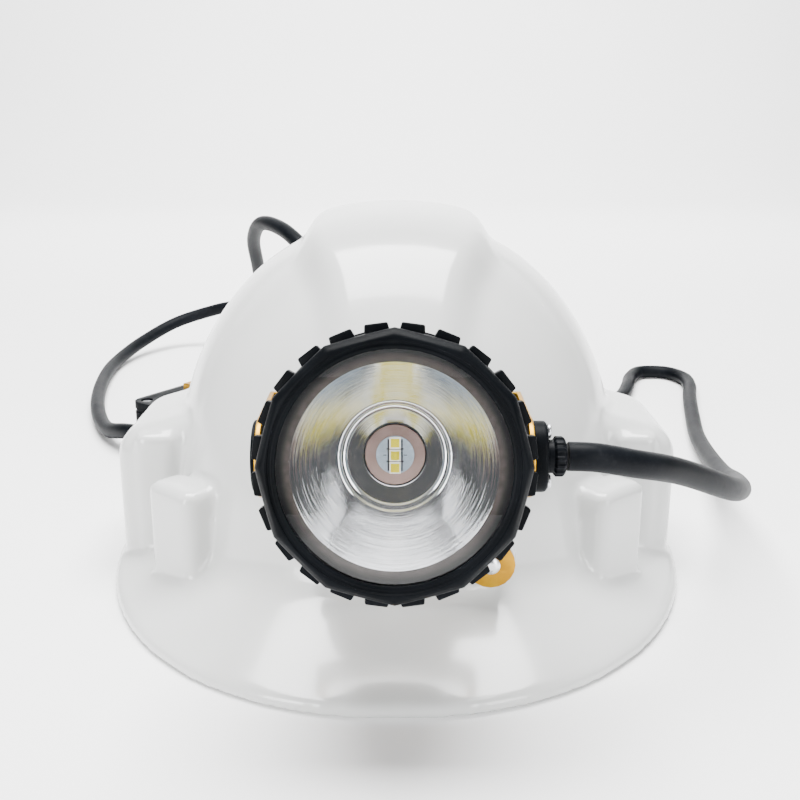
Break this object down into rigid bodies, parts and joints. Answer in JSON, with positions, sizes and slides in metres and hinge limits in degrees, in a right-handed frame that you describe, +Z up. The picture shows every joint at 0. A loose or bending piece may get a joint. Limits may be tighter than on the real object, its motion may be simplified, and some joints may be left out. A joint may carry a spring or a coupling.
{
  "type": "miner's cap lamp",
  "caption": "Corded LED cap lamp on the lamp plate of a white safety helmet, with its cable and battery pack.",
  "frame": {"origin": "on the table under the middle of the bounding box, cable left out", "axes": "+Z up, the lamp looks along -Y, +X on the right of someone who faces the lamp"},
  "size_m": [0.3974, 0.5294, 0.14],
  "materials": {
    "white_abs": "glossy moulded ABS",
    "webbing": "matt moulded polyethylene",
    "sweat_foam": "padded cloth",
    "black_plastic": "fine grained black plastic",
    "black_rubber": "matt black rubber",
    "chromate": "yellow chromate on steel",
    "steel": "bright steel",
    "aluminium": "turned aluminium",
    "mirror_coat": "vacuum metallised bowl",
    "copper": "copper core plate",
    "clear_lens": "clear polycarbonate",
    "board": "white solder mask",
    "phosphor": "yellow phosphor",
    "cell_wrap": "shrink sleeve",
    "board_green": "green circuit board"
  },
  "bodies": {
    "helmet_and_pack": {"helmet_shell": "white_abs", "helmet_headband": "webbing", "helmet_sweatband": "sweat_foam", "helmet_crown_cradle": "webbing", "helmet_hanger_key_1": "webbing", "helmet_hanger_key_2": "webbing", "helmet_hanger_key_3": "webbing", "helmet_hanger_key_4": "webbing", "helmet_nape_housing": "black_plastic", "helmet_cord_clip": "black_plastic", "helmet_clip_rivet": "steel", "lamp_plate": "chromate", "plate_rivet_1": "steel", "plate_rivet_2": "steel", "plate_rivet_3": "steel", "yoke": "chromate", "battery_case": "black_plastic", "battery_seal": "black_rubber", "battery_cover": "black_plastic", "cover_screw_1": "steel", "cover_screw_2": "steel", "cover_screw_3": "steel", "cover_screw_4": "steel", "battery_cell_1": "cell_wrap", "battery_cell_2": "cell_wrap", "protection_board": "board_green", "battery_gland": "black_rubber", "belt_loop": "chromate", "cable": "black_rubber"},
    "headpiece": {"lamp_housing": "black_plastic", "reflector": "mirror_coat", "heat_sink": "aluminium", "led_base_plate": "copper", "led_board": "board", "led_1": "phosphor", "led_2": "phosphor", "led_3": "phosphor", "pivot_screw": "black_plastic", "gland_flange": "black_plastic", "gland_screw_1": "steel", "gland_screw_2": "steel", "gland_collar": "black_plastic"},
    "lens_carrier": {"lens": "clear_lens", "lens_gasket": "black_rubber"},
    "bezel": {"bezel_ring": "black_plastic"},
    "switch": {"switch_button": "black_rubber"},
    "ratchet_knob": {"helmet_ratchet_knob": "black_plastic"}
  },
  "joints": [
    {"name": "headpiece_tilt", "type": "hinge", "parent": "helmet_and_pack", "child": "headpiece", "pos_m": [0.01414, -0.14876, 0.0804], "axis": [1, 0, 0], "range_deg": [-15, 15]},
    {"name": "lens_travel", "type": "slide", "parent": "headpiece", "child": "lens_carrier", "axis": [0, -0.9781, 0.2079], "range_m": [0, 0.00225]},
    {"name": "bezel_turn", "type": "hinge", "parent": "lens_carrier", "child": "bezel", "pos_m": [0.01414, -0.14876, 0.0804], "axis": [0, -0.9781, 0.2079], "range_deg": [0, 540]},
    {"name": "switch_press", "type": "slide", "parent": "headpiece", "child": "switch", "axis": [0, 0.2079, 0.9781], "range_m": [0, 0.0015], "stiffness_N_per_m": 900, "springref_m": -0.001},
    {"name": "ratchet_turn", "type": "hinge", "parent": "helmet_and_pack", "child": "ratchet_knob", "pos_m": [0.01414, 0.09884, 0.017], "axis": [0, 1, 0], "range_deg": [-360, 360]}
  ],
  "couplings": [
    {"joint": "bezel_turn", "follows": "lens_travel", "rad_per_m": 4188.8}
  ]
}
